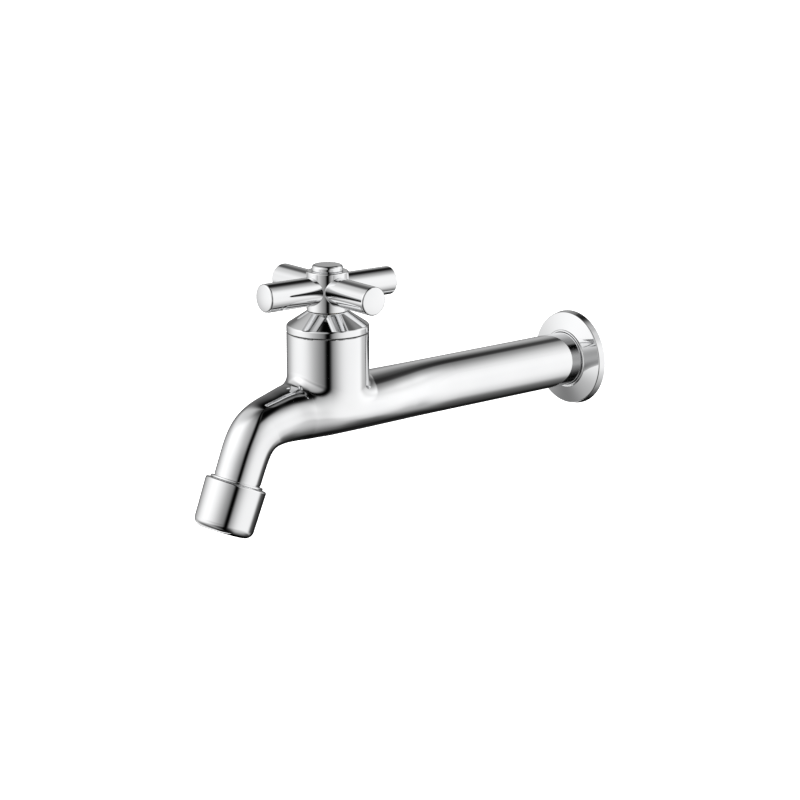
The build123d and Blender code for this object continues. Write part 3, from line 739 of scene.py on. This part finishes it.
# ------------------------------------------------------------------- studio
# Soft boxes around the tap, in degrees: azimuth 0 is in front of the tap, 90 at
# its right. Each row: brightness and middle azimuth; the left, right, bottom and
# top edge, each with its softness; the lean of the left, right, top and bottom
# edge for each ten degrees along it.
SOFT_BOXES = [
    (0.73, -30, -43.1, 22.2, 60.3, 28.0, -20.4, 7.0, 54.9, 9.0, 2.46, -4.95, 4.55, 0.63),
    (1.06, 115, -40.0, 22.0, 42.5, 7.6, -29.1, 7.8, 41.3, 15.2, 2.07, -1.36, -1.42, -1.51),
    (0.70, 130, -58.9, 13.1, 62.7, 12.1, -60.0, 19.4, -31.8, 7.0, -1.56, 2.39, -1.00, 0),
    (0.46, -30, -50.3, 31.3, 27.5, 17.9, -38.5, 7.0, 18.7, 7.0, -7.21, -3.47, -0.58, -4.65),
    (0.64, -145, -5.5, 4.0, 17.1, 4.2, 15.7, 26.4, 36.2, 7.0, 0.42, 2.21, -9.00, -8.99),
    (2.45, -130, 13.9, 4.0, 8.3, 33.2, -62.5, 7.0, 57.2, 7.0, -3.39, -8.43, 0.12, -7.15),
    (0.57, 150, -39.3, 4.0, 73.2, 4.0, 45.2, 9.5, 73.1, 7.6, 1.88, -0.74, -1.85, 5.35),
    (0.69, -40, -75.7, 6.6, 69.4, 62.6, 18.0, 7.0, 73.1, 13.1, 3.68, 4.15, -0.78, -0.68),
    (1.64, -170, -27.7, 13.6, -14.7, 19.9, -17.1, 7.0, 46.6, 7.0, -1.86, 1.18, 1.02, -0.48),
]
# dark cards in front of them: the same columns, with the share of light they take
DARK_CARDS = [
    (1.00, -160, 11.0, 3.0, 12.5, 3.0, 42.1, 5.9, 53.8, 3.0, -3.09, 1.94, -1.53, -3.10),
    (1.00, -175, -39.0, 21.1, 31.0, 3.2, -59.9, 14.9, -45.7, 3.0, -2.04, 5.65, -0.71, 4.31),
    (0.97, 0, -38.7, 3.0, 30.1, 3.0, -74.4, 4.8, -59.9, 3.0, 5.55, -1.09, 0.95, 2.45),
    (0.72, -130, 3.5, 3.0, 34.6, 6.5, -23.1, 3.0, 23.8, 13.3, -0.72, -2.08, 5.97, 0.19),
    (1.00, 60, -4.5, 3.0, 37.0, 3.0, 44.2, 4.3, 82.3, 3.0, 1.58, 5.99, -1.16, 2.16),
]
# dark gap between the two large soft boxes: its middle, the middle's lean and
# bend, its half width, and the softness of its right and left edge
GAP = (51.62, 3.84, -0.37, 6.88, 5.05, 4.77)
TENT_DIM = 0.0008


def past(x, softness):
    """0 before an edge, 1 past it."""
    return 0.5 * (1 + np.tanh(x / softness))


def panel(row, az, el):
    """One soft box or dark card, in a direction."""
    (amount, middle, left, left_soft, right, right_soft, low, low_soft, high, high_soft,
     left_lean, right_lean, high_lean, low_lean) = row
    up = (el + 13) / 10
    d = (az - middle + 180) % 360 - 180
    across = past(d - left - left_lean * up, left_soft) * past(right + right_lean * up - d, right_soft)
    above = past(el - low - low_lean * d / 10, low_soft) * past(high + high_lean * d / 10 - el, high_soft)
    return amount * across * above


def studio(az, el):
    """Brightness of the photographer's light tent in a direction."""
    light = np.zeros(np.shape(az))
    for row in SOFT_BOXES:
        light = light + panel(row, az, el)
    for row in DARK_CARDS:
        light = light * (1 - panel(row, az, el))
    middle, lean, bend, half, right_soft, left_soft = GAP
    k = np.clip((el + 13) / 10, -3, 8)
    d = (az - middle - lean * k - bend * k * k + 180) % 360 - 180
    dark = np.minimum(1.1 * past(d + half, right_soft) * past(half - d, left_soft), 1)
    return light * (1 - dark) ** 1.8 + TENT_DIM


def make_studio():
    scene = bpy.context.scene
    scene.view_settings.view_transform = "Standard"
    scene.view_settings.look = "None"
    scene.view_settings.exposure = 0.0
    scene.view_settings.gamma = 1.0

    # light tent: seen by reflections only
    radius, across, down = 20.0, 480, 240
    az = np.arange(across) * 360.0 / across
    el = 90.0 - np.arange(down + 1) * 180.0 / down
    aa, ee = np.meshgrid(az, el, indexing="xy")
    a, e = np.radians(aa), np.radians(ee)
    co = radius * np.stack([np.sin(a) * np.cos(e), -np.cos(a) * np.cos(e), np.sin(e)], 2)
    co[..., 1] -= 0.11
    i = np.arange(down)[:, None] * across
    j = np.arange(across)[None, :]
    nxt = (j + 1) % across
    faces = np.stack([i + j, i + across + j, i + across + nxt, i + nxt], 2).reshape(-1, 4)
    mesh = bpy.data.meshes.new("light_tent")
    mesh.from_pydata(co.reshape(-1, 3).tolist(), [], faces.tolist())
    glow = mesh.attributes.new("glow", "FLOAT", "POINT")
    glow.data.foreach_set("value", studio(aa, ee).reshape(-1).astype(np.float32))
    tent = bpy.data.objects.new("light_tent", mesh)
    scene.collection.objects.link(tent)
    m = bpy.data.materials.new("light_tent")
    m.use_nodes = True
    tree = m.node_tree
    tree.nodes.clear()
    attribute = tree.nodes.new("ShaderNodeAttribute")
    attribute.attribute_name = "glow"
    emit = tree.nodes.new("ShaderNodeEmission")
    emit.inputs["Color"].default_value = (1.0, 1.0, 1.0, 1)
    out = tree.nodes.new("ShaderNodeOutputMaterial")
    tree.links.new(attribute.outputs["Fac"], emit.inputs["Strength"])
    tree.links.new(emit.outputs["Emission"], out.inputs["Surface"])
    m.cycles.emission_sampling = "NONE"
    mesh.materials.append(m)
    tent.visible_camera = False
    tent.visible_diffuse = False
    tent.visible_transmission = False
    tent.visible_volume_scatter = False
    tent.visible_shadow = False

    # pale floor, far below: the tap hangs on a wall
    n = 96
    ring = [(60 * math.cos(2 * math.pi * k / n), 60 * math.sin(2 * math.pi * k / n), -1.3) for k in range(n)]
    mesh = bpy.data.meshes.new("floor")
    mesh.from_pydata([(0, 0, -1.3)] + ring, [], [(0, k + 1, (k + 1) % n + 1) for k in range(n)])
    floor = bpy.data.objects.new("floor", mesh)
    scene.collection.objects.link(floor)
    m, tree, shader = material("pale_floor")
    tree.links.new(
        shades(tree, noise(tree, 3.0, 4.0), (0.90, 0.90, 0.90), (0.94, 0.94, 0.94)),
        shader.inputs["Base Color"],
    )
    shader.inputs["Roughness"].default_value = 0.9
    shader.inputs["Emission Color"].default_value = (1, 1, 1, 1)
    shader.inputs["Emission Strength"].default_value = 1.0
    mesh.materials.append(m)
    floor.visible_glossy = False

    world = bpy.data.worlds.new("studio")
    scene.world = world
    world.use_nodes = True
    background = world.node_tree.nodes["Background"]
    background.inputs["Color"].default_value = (1, 1, 1, 1)
    background.inputs["Strength"].default_value = 1.0
    world.cycles_visibility.glossy = False

    # soft lights for the pieces that aren't metal
    for name, place, size, power in (
        ("key_light", (1.6, -1.4, 1.6), 1.6, 40.0), ("fill_light", (-1.8, -1.2, 0.6), 2.0, 18.0),
    ):
        lamp = bpy.data.lights.new(name, "AREA")
        lamp.shape = "SQUARE"
        lamp.size = size
        lamp.energy = power
        obj = bpy.data.objects.new(name, lamp)
        obj.location = place
        obj.rotation_mode = "QUATERNION"
        obj.rotation_quaternion = (Vector((0, -0.11, 0)) - Vector(place)).to_track_quat("-Z", "Y")
        obj.visible_camera = False
        obj.visible_glossy = False
        scene.collection.objects.link(obj)


def make_camera():
    azimuth, elevation, distance = math.radians(49.49), math.radians(13.97), 1.2754
    target = Vector((-0.00002, -0.11555, -0.00433))
    back = Vector((
        math.sin(azimuth) * math.cos(elevation), -math.cos(azimuth) * math.cos(elevation),
        math.sin(elevation),
    ))
    data = bpy.data.cameras.new("camera")
    data.sensor_width = 36.0
    data.lens = 118.64
    data.clip_start, data.clip_end = 0.05, 200.0
    cam = bpy.data.objects.new("camera", data)
    cam.location = target + back * distance
    cam.rotation_mode = "QUATERNION"
    cam.rotation_quaternion = (-back).to_track_quat("-Z", "Y")
    bpy.context.scene.collection.objects.link(cam)
    bpy.context.scene.camera = cam


def finish_piece(obj, body, node, mat):
    obj.data.materials.append(mat)
    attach(obj, body)
    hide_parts(node)
    return obj


def main():
    make_camera()
    make_studio()
    mats = make_materials()

    finish_piece(make_tap_body(), "tap", "tap_body", mats["chrome_cast"])
    finish_piece(make_inlet_tail(), "tap", "inlet_tail", mats["brass_turned"])
    flange = make_turned("wall_flange_spun", [
        (13.6, -6.3, 0.35), (14.35, -6.3, 0.35), (14.55, -5.55, 0.5), (23.3, -3.52, 0.7), (23.95, -0.25),
        (23.95, 0.0), (22.8, 0.0), (22.4, -2.4), (15.9, -3.9), (13.6, -3.9),
    ], ALONG_Y, around=256, steps=14)
    finish_piece(flange, "tap", "wall_flange", mats["chrome_plate"])
    cover = make_turned("bonnet_cover_turned", [
        (18.4, 36.04), (18.4, 36.64), (19.5, 36.64, 0.2), (19.5, 39.6, 1.2), (9.6, 46.25, 0.3),
        (6.9, 46.25, 0.2), (6.9, 44.6),
        (9.2, 44.6), (12.2, 42.55), (12.2, 40.8), (14.15, 40.4), (14.15, 36.44), (14.55, 36.04),
    ], AT_VALVE, around=256)
    finish_piece(cover, "tap", "bonnet_cover", mats["chrome_plate"])
    shell = make_turned("aerator_shell_turned", [
        (12.75, 2.25), (14.6, 2.25, 0.9), (14.13, 25.6, 4.2), (9.6, 25.6, 0.6), (9.6, 21.5),
        (11.6, 21.5), (11.6, 12.0), (12.06, 11.5), (12.06, 2.9),
    ], AT_END, around=256, steps=12)
    finish_piece(shell, "tap", "aerator_shell", mats["chrome_plate"])
    finish_piece(make_cross_handle(), "handle", "cross_handle", mats["chrome_cast"])
    cap = make_turned("index_cap_turned", [
        (0, CAP_TOP), (CAP_R, CAP_TOP, 1.6), (CAP_R, HUB_TOP, 0.5), (6.3, HUB_TOP), (6.3, 64.3),
        (5.2, 64.3), (5.2, 62.9), (6.3, 62.9), (6.3, 62.1, 0.3), (4.6, 62.1), (4.6, 66.0), (0, 66.0),
    ], AT_VALVE, steps=12)
    finish_piece(cap, "handle", "index_cap", mats["chrome_plate"])

    # the other CAD nodes keep their shape and get their slot's material
    slot_of = {s["node"]: s["material_slot"] for s in frame["record"]["subparts"]}
    for name, obj in cad.items():
        mat = mats[slot_of[name]]
        if not obj.material_slots:
            obj.data.materials.append(mat)
        for s in obj.material_slots:
            s.material = mat


main()
